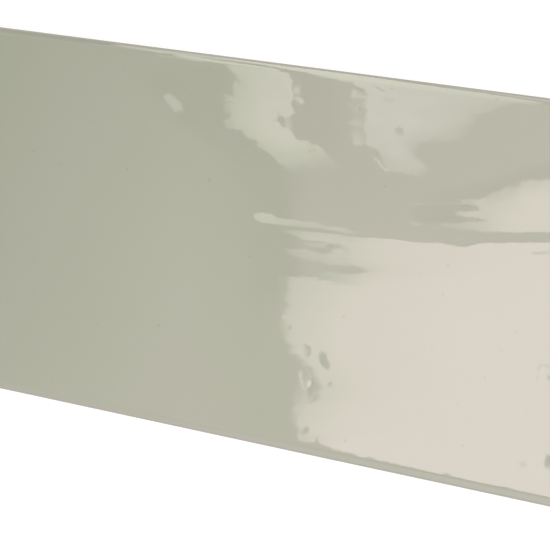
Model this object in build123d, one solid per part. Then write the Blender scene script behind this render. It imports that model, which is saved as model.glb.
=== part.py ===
from build123d import *
import math
import os

# Ceramic wall tile in a plank format, with a glazed face that is gently uneven, as if made
# by hand. It lies flat: the keyed back is down, at Z = 0, and the glazed face is up.
# The origin is the middle of the back. X runs along the tile and Y across it. Millimetres.

# Overall size of the fired tile
tile_length = 300.0
tile_width = 75.0
tile_thickness = 8.5  # back to the mean level of the glazed face

# Edges of the body
corner_radius = 1.8  # the four upright corners, seen from above
arris_radius = 1.3  # where the glaze rolls over from the face to the sides
foot_chamfer = 0.5  # the pressed bevel round the back
corner_share = 0.8  # both stay under this share of the corner radius

# Uneven face: a low ridge along the tile, then long rolls along it and across it
ridge_rise = 0.16
ridge_offset = 8.0  # from the centre line towards +Y
ridge_half_width = 17.0
long_roll_rise = 0.10
long_roll_wave = 150.0
slant_roll_rise = 0.06
slant_roll_wave = 96.0
slant_roll_angle = 62.0  # degrees from the X axis
edge_droop = 0.12  # the glaze thins towards the long sides
face_grid_step = 7.5  # spacing of the points that carry the face surface
face_overhang = 6.0  # how far the surface runs past the body before it is trimmed
face_tolerance = 0.002  # how closely the surface keeps to its points

# Keyed back: a grid of shallow pressed pockets between ribs that the adhesive grips
back_border = 5.5  # plain land left round the grid
rib_width = 3.0
pocket_pitch_along = 24.0  # wanted spacings; the real ones divide the back evenly
pocket_pitch_across = 17.0
pocket_depth = 0.8
pocket_corner = 1.6
pocket_draft = 20.0  # degrees, so that the die releases


def roll(distance, wave_length, rise):
    """Height of an even roll, at a distance measured across its crests."""
    return rise * math.cos(2 * math.pi * distance / wave_length)


def face_height(x, y):
    """Height of the glazed face over the back, at a point of the plan."""
    ridge = ridge_rise * math.exp(-(((y - ridge_offset) / ridge_half_width) ** 2))
    slant = math.radians(slant_roll_angle)
    across_slant = x * math.sin(slant) + y * math.cos(slant)
    rolls = roll(x, long_roll_wave, long_roll_rise) + roll(across_slant, slant_roll_wave, slant_roll_rise)
    droop = edge_droop * (2 * y / tile_width) ** 2
    return tile_thickness + ridge + rolls - droop


def steps_across(span):
    """Evenly spaced places over a span about the centre, about a grid step apart."""
    count = max(4, math.ceil(span / face_grid_step))
    return [span * (i / count - 0.5) for i in range(count + 1)]


def make_face_surface():
    """The uneven face as one smooth surface, a little larger than the tile."""
    xs = steps_across(tile_length + 2 * face_overhang)
    ys = steps_across(tile_width + 2 * face_overhang)
    points = [[Vector(x, y, face_height(x, y)) for y in ys] for x in xs]
    return Face.make_surface_from_array_of_points(points, tol=face_tolerance, min_deg=3, max_deg=5)


def make_blank():
    """The solid body under the uneven face, with its glazed arris and the bevel round its foot."""
    block_height = 2 * tile_thickness
    outline = RectangleRounded(tile_length, tile_width, corner_radius)
    block = extrude(outline, amount=block_height)
    under_face = extrude(make_face_surface(), amount=block_height, dir=(0, 0, -1))
    blank = block & under_face
    largest_edge = corner_share * corner_radius
    glazed_face = blank.faces().sort_by(Axis.Z)[-1]
    blank = fillet(glazed_face.edges(), radius=min(arris_radius, largest_edge))
    foot_edges = blank.faces().sort_by(Axis.Z)[0].edges()
    return chamfer(foot_edges, length=min(foot_chamfer, largest_edge))


def even_count(span, pitch):
    """How many pockets fit a span: an even number, so that a rib crosses the middle."""
    return 2 * max(1, round((span + rib_width) / (2 * pitch)))


def make_pockets():
    """The tapered pockets of the back, evenly divided between the borders."""
    span_x = tile_length - 2 * back_border
    span_y = tile_width - 2 * back_border
    columns = even_count(span_x, pocket_pitch_along)
    rows = even_count(span_y, pocket_pitch_across)
    pitch_x = (span_x + rib_width) / columns
    pitch_y = (span_y + rib_width) / rows
    pocket = RectangleRounded(pitch_x - rib_width, pitch_y - rib_width, pocket_corner)
    cutter = extrude(pocket, amount=pocket_depth, taper=pocket_draft)
    return [place * cutter for place in GridLocations(pitch_x, pitch_y, columns, rows)]


def make_wall_tile():
    """The whole tile, one fired piece."""
    return make_blank() - make_pockets()


os.makedirs("parts", exist_ok=True)
wall_tile = make_wall_tile()
export_step(wall_tile, "parts/wall_tile.step")
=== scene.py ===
import math

import bpy
import numpy as np
from mathutils import Matrix, Vector
from mathutils.geometry import delaunay_2d_cdt


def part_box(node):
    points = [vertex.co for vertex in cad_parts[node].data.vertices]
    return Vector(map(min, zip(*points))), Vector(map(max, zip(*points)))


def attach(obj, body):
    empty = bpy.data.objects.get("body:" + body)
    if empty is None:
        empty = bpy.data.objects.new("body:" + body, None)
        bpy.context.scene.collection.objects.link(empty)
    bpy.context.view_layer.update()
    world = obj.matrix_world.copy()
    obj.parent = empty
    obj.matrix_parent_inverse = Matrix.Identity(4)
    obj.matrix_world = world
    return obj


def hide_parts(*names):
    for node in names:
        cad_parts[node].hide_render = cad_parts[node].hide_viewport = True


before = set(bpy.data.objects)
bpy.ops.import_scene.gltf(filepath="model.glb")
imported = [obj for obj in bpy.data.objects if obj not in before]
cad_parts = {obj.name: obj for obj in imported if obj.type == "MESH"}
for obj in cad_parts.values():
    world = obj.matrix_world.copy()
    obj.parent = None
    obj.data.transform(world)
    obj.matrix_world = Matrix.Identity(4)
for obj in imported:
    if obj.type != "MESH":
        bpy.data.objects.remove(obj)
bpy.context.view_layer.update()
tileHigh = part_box("wall_tile")[1]
halfLength, halfWidth = tileHigh[0], tileHigh[1]
mm = 0.001
print("frame loaded, tile half size", round(halfLength, 4), round(halfWidth, 4))


# The face of the tile has the same slow waves as the solid

face = {
    "level": 8.5 * mm,  # mean height of the glazed face over the back
    "ridgeRise": 0.16 * mm, "ridgeAt": 8.0 * mm, "ridgeHalf": 17.0 * mm,
    "longRise": 0.10 * mm, "longWave": 150.0 * mm,
    "slantRise": 0.06 * mm, "slantWave": 96.0 * mm, "slantAngle": 62.0,
    "droop": 0.12 * mm,
}


def faceHeight(x, y):
    ridge = face["ridgeRise"] * np.exp(-(((y - face["ridgeAt"]) / face["ridgeHalf"]) ** 2))
    slant = math.radians(face["slantAngle"])
    alongSlant = x * math.sin(slant) + y * math.cos(slant)
    longRoll = face["longRise"] * np.cos(2 * math.pi * x / face["longWave"])
    slantRoll = face["slantRise"] * np.cos(2 * math.pi * alongSlant / face["slantWave"])
    return face["level"] + ridge + longRoll + slantRoll - face["droop"] * (y / halfWidth) ** 2


swell = {"seed": 7, "waves": 80, "range": (9.0 * mm, 40.0 * mm), "slope": 0.0010, "probe": 0.2 * mm}


def ease(share):  # from 0 to 1, level at both ends
    return share * share * (3 - 2 * share)


def addWaves(x, y, rng, count, waveRange, slope):
    lengths = np.exp(rng.uniform(math.log(waveRange[0]), math.log(waveRange[1]), count))
    turns = rng.uniform(0, math.pi, count)
    phases = rng.uniform(0, 2 * math.pi, count)
    # Long waves are steeper, so that all bend alike
    slopes = slope * math.sqrt(2 / count) * lengths / lengths.mean()
    height = np.zeros_like(x)
    for length, turn, phase, steepest in zip(lengths, turns, phases, slopes):
        number = 2 * math.pi / length
        height += steepest / number * np.cos(number * (x * math.cos(turn) + y * math.sin(turn)) + phase)
    return height


def swellHeight(x, y):  # the glaze's own slow unevenness, too low for the solid
    rng = np.random.default_rng(swell["seed"])
    return faceHeight(x, y) + addWaves(x, y, rng, swell["waves"], swell["range"], swell["slope"])


def faceNormal(x, y):
    step = swell["probe"]
    slopeX = (swellHeight(x + step, y) - swellHeight(x - step, y)) / (2 * step)
    slopeY = (swellHeight(x, y + step) - swellHeight(x, y - step)) / (2 * step)
    normal = np.stack([-slopeX, -slopeY, np.ones_like(slopeX)], axis=-1)
    return normal / np.linalg.norm(normal, axis=-1, keepdims=True)


# Camera: the long edges of the tile meet at one point of the picture, which gives their direction

view = {
    "side": 550,  # the picture is square, and its centre is on the lens axis
    "focal": 2290.0,  # px
    "meet": (-4493.0, -795.0),  # where the long edges meet, px from the centre
    "edgeTop": 62.5, "edgeBottom": 447.6,  # the long edges in the middle column, px
    "edgeHeight": 7.3 * mm,  # where the arris turns into the sides
    "centreAt": -0.002,  # X of the tile in the middle of the picture
}


def solveCamera():
    # Lens frame: x right, y down, z forward
    lengthwise = np.array([-view["meet"][0], -view["meet"][1], -view["focal"]])
    lengthwise /= np.linalg.norm(lengthwise)
    forward = np.array([0.0, 0.0, 1.0])
    outward = -(forward - lengthwise * forward.dot(lengthwise))
    outward /= np.linalg.norm(outward)
    across = np.cross(outward, lengthwise)
    middle = view["side"] / 2
    topRay = np.array([0.0, (view["edgeTop"] - middle) / view["focal"], 1.0])
    bottomRay = np.array([0.0, (view["edgeBottom"] - middle) / view["focal"], 1.0])
    # topRay * a - bottomRay * b = across * tile width + lengthwise * c
    solved = np.linalg.solve(np.stack([topRay, -bottomRay, -lengthwise], axis=1), across * 2 * halfWidth)
    edgePoint = topRay * solved[0] - across * halfWidth
    toTile = np.stack([lengthwise, across, outward])
    place = -toTile @ edgePoint
    place[2] += view["edgeHeight"]
    # Slide along the tile until the middle of the picture is at the wanted place
    axis = toTile @ forward
    seenX = place[0] + axis[0] * (face["level"] - place[2]) / axis[2]
    place[0] += view["centreAt"] - seenX
    return place, toTile


cameraPlace, lensToTile = solveCamera()


def addCamera():
    data = bpy.data.cameras.new("camera")
    data.sensor_width = 36.0
    data.sensor_fit = "HORIZONTAL"
    data.lens = view["focal"] / view["side"] * data.sensor_width
    data.clip_start = 10 * mm
    camera = bpy.data.objects.new("camera", data)
    bpy.context.scene.collection.objects.link(camera)
    right, down, forward = lensToTile.T
    turn = Matrix([list(row) for row in np.stack([right, -down, -forward], axis=1)])
    camera.location = cameraPlace
    camera.rotation_euler = turn.to_euler()
    bpy.context.scene.camera = camera
    print("camera at", np.round(cameraPlace, 4), "lens", round(data.lens, 1))


addCamera()


def mirrorRays(rays, normals):
    return rays - 2 * np.sum(rays * normals, axis=-1, keepdims=True) * normals


def faceAt(column, row):  # the point of the face seen at a pixel, and the way its reflection goes
    column, row = np.asarray(column, float), np.asarray(row, float)
    middle = view["side"] / 2
    rays = np.stack([(column - middle) / view["focal"], (row - middle) / view["focal"],
                     np.ones_like(column)], axis=-1)
    rays = rays @ lensToTile.T
    rays /= np.linalg.norm(rays, axis=-1, keepdims=True)
    height = face["level"]
    for _ in range(3):  # the height changes so slowly that three rounds settle it
        reach = (height - cameraPlace[2]) / rays[..., 2]
        points = cameraPlace + rays * reach[..., None]
        height = faceHeight(points[..., 0], points[..., 1])
    return points, mirrorRays(rays, faceNormal(points[..., 0], points[..., 1]))


# Fine relief of the glaze: ripples all over, random dimples, and the flaws that the photograph shows

relief = {
    "seed": 11, "waves": 110, "range": (1.4 * mm, 3.2 * mm), "slope": 0.0004,
    "calmAt": 6.0 * mm, "calmHalf": 12.0 * mm, "calmShare": 0.7,  # the ridge's flank is smoother
    "dimples": 150, "dimpleHalf": (0.6 * mm, 1.5 * mm), "dimpleStretch": (1.0, 2.4),
    "dimpleTurn": (0.2, 0.5),  # mean and spread, in radians
    "dimpleSlope": 0.0006, "dimpleShare": (0.3, 1.0),
}
gaussSlope = 0.858  # a Gaussian's steepest slope, as a share of its depth over its half size

# Flaws: column and row in px, half sizes across and along in mm, turn in degrees, steepest slope
flaws = {
    "longPit": (324, 361, 0.8, 1.6, 30, 0.001),
    "cornerPit": (306, 351, 0.9, 1.0, 10, 0.001),
    "footPit": (305, 431, 0.6, 0.8, 20, 0.001),
    "dotPit": (331, 384, 0.5, 0.6, 0, 0.0006),
    "sidePit": (547, 463, 0.7, 1.3, 15, 0.0004),
    "ridgePit": (541, 250, 2.2, 0.5, 5, 0.001),
    "rimPit": (384, 84, 1.4, 0.5, -20, 0.008),
    "patchDot": (400, 130, 0.5, 0.8, 20, 0.0006),
    "patchShade": (484, 121, 1.6, 1.0, 0, 0.0008),
    "tongueDot": (314, 150, 0.5, 0.6, 0, 0.0006),
    "footBump": (508, 487, 0.9, 0.7, 0, -0.006),
}


def addDimple(height, x, y, atX, atY, halfAcross, halfAlong, turn, slope):
    depth = slope * min(halfAcross, halfAlong) / gaussSlope
    reach = 3 * max(halfAcross, halfAlong)
    near = (np.abs(x - atX) < reach) & (np.abs(y - atY) < reach)
    offX, offY = x[near] - atX, y[near] - atY
    across = offX * math.cos(turn) + offY * math.sin(turn)
    along = -offX * math.sin(turn) + offY * math.cos(turn)
    height[near] -= depth * np.exp(-((across / halfAcross) ** 2) - (along / halfAlong) ** 2)


def glazeRelief(x, y):
    rng = np.random.default_rng(relief["seed"])
    height = addWaves(x, y, rng, relief["waves"], relief["range"], relief["slope"])
    height *= 1 - relief["calmShare"] * np.exp(-(((y - relief["calmAt"]) / relief["calmHalf"]) ** 2))
    for _ in range(relief["dimples"]):
        atX, atY = rng.uniform(-halfLength, halfLength), rng.uniform(-halfWidth, halfWidth)
        across = rng.uniform(*relief["dimpleHalf"])
        along = across * rng.uniform(*relief["dimpleStretch"])
        turn = rng.normal(*relief["dimpleTurn"])
        slope = relief["dimpleSlope"] * rng.uniform(*relief["dimpleShare"])
        addDimple(height, x, y, atX, atY, across, along, turn, slope)
    for column, row, across, along, turn, slope in flaws.values():
        atX, atY = faceAt(column, row)[0][:2]
        addDimple(height, x, y, atX, atY, across * mm, along * mm, math.radians(turn), slope)
    return height


# The tile's mesh: a grid over the face, rings over the arris and down the sides, and the keyed back

body = {
    "cornerRadius": 1.8 * mm, "arris": 1.3 * mm, "footBevel": 0.5 * mm,
    "fineStep": 0.46 * mm, "coarseStep": 0.95 * mm,  # the grid is finest where the camera looks
    "fineAt": -1.0 * mm, "fineHalf": 56.0 * mm, "fadeOver": 20.0 * mm,
    "probes": 6001, "cornerSteps": 6, "arrisSteps": 9,
    "border": 5.5 * mm, "rib": 3.0 * mm, "pitchAlong": 24.0 * mm, "pitchAcross": 17.0 * mm,
    "pocketDepth": 0.8 * mm, "pocketCorner": 1.6 * mm, "pocketDraft": 20.0, "pocketSteps": 5,
}

# The line on the sides where the glaze stops: it sways, and runs down where more glaze went over the edge
glazeEdge = {
    "seed": 16, "height": 3.4 * mm, "sway": 0.7 * mm, "lip": 0.1 * mm,
    "swaysRound": (5, 9, 14, 23, 37, 61, 90), "runs": 14, "runDepth": (0.6, 1.6), "runHalf": 0.003,
}


def gradedSteps():  # X of the grid's columns
    end = halfLength - body["cornerRadius"]
    probes = np.linspace(-end, end, body["probes"])
    share = ease(np.clip((np.abs(probes - body["fineAt"]) - body["fineHalf"]) / body["fadeOver"], 0, 1))
    density = 1 / (body["fineStep"] * (1 - share) + body["coarseStep"] * share)
    counted = np.concatenate([[0], np.cumsum((density[1:] + density[:-1]) / 2 * np.diff(probes))])
    return np.interp(np.linspace(0, counted[-1], round(counted[-1]) + 1), counted, probes)


def evenSteps():  # Y of the grid's rows
    end = halfWidth - body["cornerRadius"]
    return np.linspace(-end, end, round(2 * end / body["fineStep"]) + 1)


def boundaryWalk(lastX, lastY):
    # Grid index and outward heading all the way round, with a fan at each corner
    sides = [
        ([(i, 0) for i in range(lastX + 1)], -90),
        ([(lastX, j) for j in range(lastY + 1)], 0),
        ([(i, lastY) for i in range(lastX, -1, -1)], 90),
        ([(0, j) for j in range(lastY, -1, -1)], 180),
    ]
    walk = []
    for cells, heading in sides:
        walk += [(i, j, heading) for i, j in cells]
        i, j = cells[-1]
        walk += [(i, j, heading + 90 * k / body["cornerSteps"]) for k in range(1, body["cornerSteps"])]
    return walk


def glazeLine(count):  # height at which the glaze stops, all the way round
    rng = np.random.default_rng(glazeEdge["seed"])
    share = np.arange(count) / count
    sway = np.zeros(count)
    for turns in glazeEdge["swaysRound"]:
        sway += np.cos(2 * math.pi * (turns * share + rng.uniform())) / math.sqrt(turns)
    for _ in range(glazeEdge["runs"]):
        away = np.abs((share - rng.uniform() + 0.5) % 1 - 0.5)
        sway -= rng.uniform(*glazeEdge["runDepth"]) * np.exp(-((away / glazeEdge["runHalf"]) ** 2))
    return glazeEdge["height"] + glazeEdge["sway"] * sway


def evenCount(span, pitch):
    return 2 * max(1, round((span + body["rib"]) / (2 * pitch)))


def roundedLoop(halfX, halfY, radius):
    turns = np.linspace(0, math.pi / 2, body["pocketSteps"] + 1)
    loop = []
    for signX, signY, quarter in ((1, 1, 0), (-1, 1, 1), (-1, -1, 2), (1, -1, 3)):
        for turn in turns + quarter * math.pi / 2:
            loop.append((signX * (halfX - radius) + radius * math.cos(turn),
                         signY * (halfY - radius) + radius * math.sin(turn)))
    return loop


def pocketPlaces():
    spanX, spanY = 2 * (halfLength - body["border"]), 2 * (halfWidth - body["border"])
    columns, rows = evenCount(spanX, body["pitchAlong"]), evenCount(spanY, body["pitchAcross"])
    pitchX, pitchY = (spanX + body["rib"]) / columns, (spanY + body["rib"]) / rows
    size = (pitchX - body["rib"], pitchY - body["rib"])
    places = [((i - (columns - 1) / 2) * pitchX, (j - (rows - 1) / 2) * pitchY)
              for i in range(columns) for j in range(rows)]
    return places, size


class MeshParts:  # points, faces, and for each face its material and whether it is smooth
    def __init__(self):
        self.points, self.faces, self.finish, self.smooth = [], [], [], []

    def addPoints(self, points):
        first = len(self.points)
        self.points += [tuple(float(v) for v in point) for point in points]
        return list(range(first, len(self.points)))

    def addFace(self, corners, finish, smooth):
        corners = tuple(dict.fromkeys(corners))
        if len(corners) > 2:
            self.faces.append(corners)
            self.finish.append(finish)
            self.smooth.append(smooth)

    def addBand(self, inner, outer, finish, smooth):
        for k in range(len(inner)):
            n = (k + 1) % len(inner)
            self.addFace((inner[k], outer[k], outer[n], inner[n]), finish, smooth)


glazed, bare = 0, 1  # the mesh's two materials


def addBack(parts, footLoop):
    places, size = pocketPlaces()
    mouth = roundedLoop(size[0] / 2, size[1] / 2, body["pocketCorner"])
    narrowing = body["pocketDepth"] * math.tan(math.radians(body["pocketDraft"]))
    floor = roundedLoop(size[0] / 2 - narrowing, size[1] / 2 - narrowing, body["pocketCorner"] - narrowing)
    holes = []
    for atX, atY in places:
        rim = parts.addPoints([(atX + x, atY + y, 0) for x, y in mouth])
        bottom = parts.addPoints([(atX + x, atY + y, body["pocketDepth"]) for x, y in floor])
        parts.addBand(rim, bottom, bare, True)
        parts.addFace(tuple(reversed(bottom)), bare, False)
        holes.append(rim)
    addLand(parts, footLoop, holes)


def addLand(parts, outline, holes):  # the flat part of the back, round the pockets
    loops = [outline] + holes
    indices = [index for loop in loops for index in loop]
    owner = [number for number, loop in enumerate(loops) for _ in loop]
    edges, first = [], 0
    for loop in loops:
        edges += [(first + k, first + (k + 1) % len(loop)) for k in range(len(loop))]
        first += len(loop)
    flat = [Vector(parts.points[index][:2]) / mm for index in indices]
    insideOnly, tolerance = 1, 0.0001
    _, _, faces, origins, *_ = delaunay_2d_cdt(flat, edges, [], insideOnly, tolerance)
    for corners in faces:
        corners = [origins[corner][0] for corner in corners]
        owners = {owner[corner] for corner in corners}
        if len(owners) == 1 and 0 not in owners:
            continue  # all its corners are on one pocket's rim, so it lies over the pocket
        parts.addFace([indices[corner] for corner in reversed(corners)], bare, False)


def makeTileMesh():
    xs, ys = gradedSteps(), evenSteps()
    gridX, gridY = np.meshgrid(xs, ys, indexing="ij")
    walk = boundaryWalk(len(xs) - 1, len(ys) - 1)
    anchorX = np.array([xs[i] for i, j, heading in walk])
    anchorY = np.array([ys[j] for i, j, heading in walk])
    headings = np.radians([heading for i, j, heading in walk])
    outX, outY = np.cos(headings), np.sin(headings)

    def surface(x, y):
        return swellHeight(x, y) + glazeRelief(x, y)

    parts = MeshParts()
    top = parts.addPoints(np.stack([gridX.ravel(), gridY.ravel(), surface(gridX, gridY).ravel()], axis=1))
    rows = len(ys)
    for i in range(len(xs) - 1):
        for j in range(rows - 1):
            a = top[i * rows + j]
            parts.addFace((a, a + rows, a + rows + 1, a + 1), glazed, True)

    def addRing(offset, z):
        return parts.addPoints(np.stack([anchorX + outX * offset, anchorY + outY * offset, z], axis=1))

    radius, arris = body["cornerRadius"], body["arris"]
    ring = [top[i * rows + j] for i, j, heading in walk]
    for turn in np.linspace(0, math.pi / 2, body["arrisSteps"] + 1):
        offset = radius - arris + arris * math.sin(turn)
        z = surface(anchorX + outX * offset, anchorY + outY * offset) - arris + arris * math.cos(turn)
        nextRing = addRing(offset, z)
        parts.addBand(ring, nextRing, glazed, True)
        ring = nextRing
    line = glazeLine(len(walk))
    lipRing = addRing(radius, line)
    parts.addBand(ring, lipRing, glazed, True)
    underLip = addRing(radius - glazeEdge["lip"], line - glazeEdge["lip"])
    parts.addBand(lipRing, underLip, glazed, True)
    bevelTop = addRing(radius - glazeEdge["lip"], np.full(len(walk), body["footBevel"]))
    parts.addBand(underLip, bevelTop, bare, True)
    foot = addRing(radius - body["footBevel"], np.zeros(len(walk)))
    parts.addBand(bevelTop, foot, bare, False)
    addBack(parts, foot)
    return parts


def makeTile():
    parts = makeTileMesh()
    mesh = bpy.data.meshes.new("glazedTile")
    mesh.from_pydata(parts.points, [], parts.faces)
    mesh.polygons.foreach_set("material_index", parts.finish)
    mesh.polygons.foreach_set("use_smooth", parts.smooth)
    mesh.validate()
    mesh.update()
    tile = bpy.data.objects.new("glazedTile", mesh)
    bpy.context.scene.collection.objects.link(tile)
    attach(tile, "root")
    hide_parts("wall_tile")
    triangles = sum(len(corners) - 2 for corners in parts.faces)
    print("tile made,", triangles, "triangles")
    return tile


tile = makeTile()


# Finishes

def setInputs(tree, node, inputs):  # an input is given as a value, or as a socket to link
    for key, value in inputs.items():
        if isinstance(value, bpy.types.NodeSocket):
            tree.links.new(value, node.inputs[key])
        else:
            node.inputs[key].default_value = value


def addNode(tree, kind, inputs=None, **settings):
    node = tree.nodes.new(kind)
    for name, value in settings.items():
        setattr(node, name, value)
    setInputs(tree, node, inputs or {})
    return node


def addMath(tree, operation, *values):
    return addNode(tree, "ShaderNodeMath", dict(enumerate(values)), operation=operation).outputs[0]


def addGroup(name, numbers, resultName):  # a node group, the sockets it is given and that of its result
    group = bpy.data.node_groups.new(name, "ShaderNodeTree")
    group.interface.new_socket("Vector", in_out="INPUT", socket_type="NodeSocketVector")
    for numberName, value in numbers.items():
        socket = group.interface.new_socket(numberName, in_out="INPUT", socket_type="NodeSocketFloat")
        socket.default_value = value
    group.interface.new_socket(resultName, in_out="OUTPUT", socket_type="NodeSocketFloat")
    given = addNode(group, "NodeGroupInput").outputs
    return group, given, addNode(group, "NodeGroupOutput").inputs[resultName]


def makeUnevenTone():  # slow and fast variation about 1, for colour and gloss
    group, given, result = addGroup("unevenTone", {"Wave": 0.03, "Amount": 0.02, "Seed": 0.0}, "Tone")
    noise = addNode(group, "ShaderNodeTexNoise", {
        "Vector": given["Vector"], "W": given["Seed"], "Detail": 3.0,
        "Scale": addMath(group, "DIVIDE", 1.0, given["Wave"])}, noise_dimensions="4D")
    centred = addMath(group, "SUBTRACT", noise.outputs["Fac"], 0.5)
    swing = addMath(group, "MULTIPLY", given["Amount"], 4.0)  # the noise itself swings by about a quarter
    group.links.new(addMath(group, "MULTIPLY_ADD", centred, swing, 1.0), result)
    return group


def makeSpecks():  # scattered round specks, 1 inside a speck
    group, given, result = addGroup("specks", {"Spacing": 0.004, "Radius": 0.0001, "Share": 0.3}, "Mask")
    scale = addMath(group, "DIVIDE", 1.0, given["Spacing"])
    placed = addNode(group, "ShaderNodeVectorMath", {0: given["Vector"], "Scale": scale}, operation="SCALE")
    cells = addNode(group, "ShaderNodeTexVoronoi", {"Vector": placed.outputs[0], "Scale": 1.0})
    away = addMath(group, "MULTIPLY", cells.outputs["Distance"], given["Spacing"])
    split = addNode(group, "ShaderNodeSeparateColor", {"Color": cells.outputs["Color"]})
    sizes = addMath(group, "ADD", split.outputs["Green"], 0.5)  # from half to one and a half
    reach = addMath(group, "MULTIPLY", given["Radius"], sizes)
    edge = addNode(group, "ShaderNodeMapRange", {
        "From Min": 1.2, "From Max": 0.6, "Value": addMath(group, "DIVIDE", away, reach)},
        interpolation_type="SMOOTHSTEP")
    chosen = addMath(group, "LESS_THAN", split.outputs["Red"], given["Share"])
    group.links.new(addMath(group, "MULTIPLY", edge.outputs["Result"], chosen), result)
    return group


def makeEdgeBand():  # 0 over the face, rising to 1 at the tile's outline
    group, given, result = addGroup(
        "edgeBand", {"Half Length": 0.15, "Half Width": 0.0375, "Band": 0.002}, "Mask")
    split = addNode(group, "ShaderNodeSeparateXYZ", {"Vector": given["Vector"]})
    insides = [addMath(group, "SUBTRACT", given[half], addMath(group, "ABSOLUTE", split.outputs[axis]))
               for half, axis in (("Half Length", "X"), ("Half Width", "Y"))]
    inside = addMath(group, "DIVIDE", addMath(group, "MINIMUM", *insides), given["Band"])
    fall = addNode(group, "ShaderNodeMapRange", {"From Min": 1.0, "From Max": 0.0, "Value": inside},
                   interpolation_type="SMOOTHSTEP")
    group.links.new(fall.outputs["Result"], result)
    return group


effects = {"tone": makeUnevenTone(), "specks": makeSpecks(), "edgeBand": makeEdgeBand()}


def placeEffect(tree, effect, vector, values):
    inputs = {"Vector": vector, **values}
    return addNode(tree, "ShaderNodeGroup", inputs, node_tree=effects[effect]).outputs[0]


def addBump(tree, height, distance):
    return addNode(tree, "ShaderNodeBump", {"Distance": distance, "Height": height}).outputs["Normal"]


def scaleColour(tree, colour, factor):
    return addNode(tree, "ShaderNodeVectorMath", {0: colour, "Scale": factor}, operation="SCALE").outputs[0]


def mixColour(tree, factor, first, second):  # first is a socket, second a colour
    inputs = {"Factor": factor, "A": first, "B": (*second, 1)}
    return addNode(tree, "ShaderNodeMix", inputs, data_type="RGBA").outputs["Result"]


def addMaterial(name):  # a material, its nodes and its main shader
    material = bpy.data.materials.new(name)
    material.use_nodes = True
    return material, material.node_tree, material.node_tree.nodes["Principled BSDF"]


glaze = {
    "colour": (0.386, 0.397, 0.308), "thinColour": (0.40, 0.392, 0.325),
    "pinholeShadeColour": (0.355, 0.362, 0.278), "roughness": 0.012, "ior": 1.52,
    "slow": {"Wave": 45.0 * mm, "Amount": 0.012, "Seed": 1.0},
    "fast": {"Wave": 4.0 * mm, "Amount": 0.006, "Seed": 2.0},
    "smudge": {"Wave": 18.0 * mm, "Amount": 0.22, "Seed": 3.0},
    "peel": {"Wave": 1.6 * mm, "Amount": 0.25, "Seed": 4.0},
    "peelHeight": 0.00025 * mm,
    "thin": {"Half Length": halfLength, "Half Width": halfWidth, "Band": 1.6 * mm},
    "pinholes": {"Spacing": 4.5 * mm, "Radius": 0.3 * mm, "Share": 0.6},
    "pinholeDepth": 3.0,  # times the peel's height
}


def makeGlazeMaterial():
    material, tree, shader = addMaterial("sageGlaze")
    at = addNode(tree, "ShaderNodeTexCoord").outputs["Object"]
    slow = placeEffect(tree, "tone", at, glaze["slow"])
    fast = placeEffect(tree, "tone", at, glaze["fast"])
    thin = placeEffect(tree, "edgeBand", at, glaze["thin"])
    pinholes = placeEffect(tree, "specks", at, glaze["pinholes"])
    colour = scaleColour(tree, glaze["colour"], addMath(tree, "MULTIPLY", slow, fast))
    colour = mixColour(tree, thin, colour, glaze["thinColour"])
    # The pinholes are real pits in the bump, and their darker colour is painted shade in them
    colour = mixColour(tree, pinholes, colour, glaze["pinholeShadeColour"])
    smudge = placeEffect(tree, "tone", at, glaze["smudge"])
    peel = placeEffect(tree, "tone", at, glaze["peel"])
    pits = addMath(tree, "MULTIPLY", pinholes, glaze["pinholeDepth"])
    setInputs(tree, shader, {
        "Base Color": colour, "Roughness": addMath(tree, "MULTIPLY", smudge, glaze["roughness"]),
        "IOR": glaze["ior"],
        "Normal": addBump(tree, addMath(tree, "SUBTRACT", peel, pits), glaze["peelHeight"])})
    return material


bisque = {
    "colour": (0.60, 0.50, 0.385), "grogColour": (0.40, 0.30, 0.21), "dustColour": (0.68, 0.62, 0.53),
    "roughness": 0.88, "ior": 1.45,
    "slow": {"Wave": 30.0 * mm, "Amount": 0.06, "Seed": 5.0},
    "grain": {"Wave": 0.35 * mm, "Amount": 0.10, "Seed": 6.0},
    "grainHeight": 0.06 * mm,
    "dust": {"Half Length": halfLength, "Half Width": halfWidth, "Band": 6.0 * mm}, "dustShare": 0.4,
    "grog": {"Spacing": 1.6 * mm, "Radius": 0.16 * mm, "Share": 0.35},
}


def makeBisqueMaterial():
    material, tree, shader = addMaterial("bareBisque")
    at = addNode(tree, "ShaderNodeTexCoord").outputs["Object"]
    slow = placeEffect(tree, "tone", at, bisque["slow"])
    grain = placeEffect(tree, "tone", at, bisque["grain"])
    dust = placeEffect(tree, "edgeBand", at, bisque["dust"])
    grog = placeEffect(tree, "specks", at, bisque["grog"])
    colour = scaleColour(tree, bisque["colour"], addMath(tree, "MULTIPLY", slow, grain))
    dust = addMath(tree, "MULTIPLY", dust, bisque["dustShare"])
    colour = mixColour(tree, dust, colour, bisque["dustColour"])
    colour = mixColour(tree, grog, colour, bisque["grogColour"])
    setInputs(tree, shader, {
        "Base Color": colour, "Roughness": addMath(tree, "MULTIPLY", grain, bisque["roughness"]),
        "IOR": bisque["ior"], "Normal": addBump(tree, grain, bisque["grainHeight"])})
    return material


tile.data.materials.append(makeGlazeMaterial())
tile.data.materials.append(makeBisqueMaterial())
print("finishes made")


# Light cards high above the tile, which only reflections see. Each is laid out by its reflection in the
# face, as the strip between two lines in px:
# from, to: the two lines, whose points are joined in order
# glow: its radiance, where 1 is white. It is one number, or a row of them from the lines' start to their
#   end, and each of those is one number or a row from the first line to the second
# soft: the share that fades out at the first line, the second line, the start and the end, or one for all
# edge: for places along the first line, the share of the glow there, and how far in the glow is full. The
#   tint goes from cool to the card's own over that
# ragged: how far the two lines are roughened, in px
# mottle: how blotchy the glow is
# Later cards hang lower, and hide the earlier ones.

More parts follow.
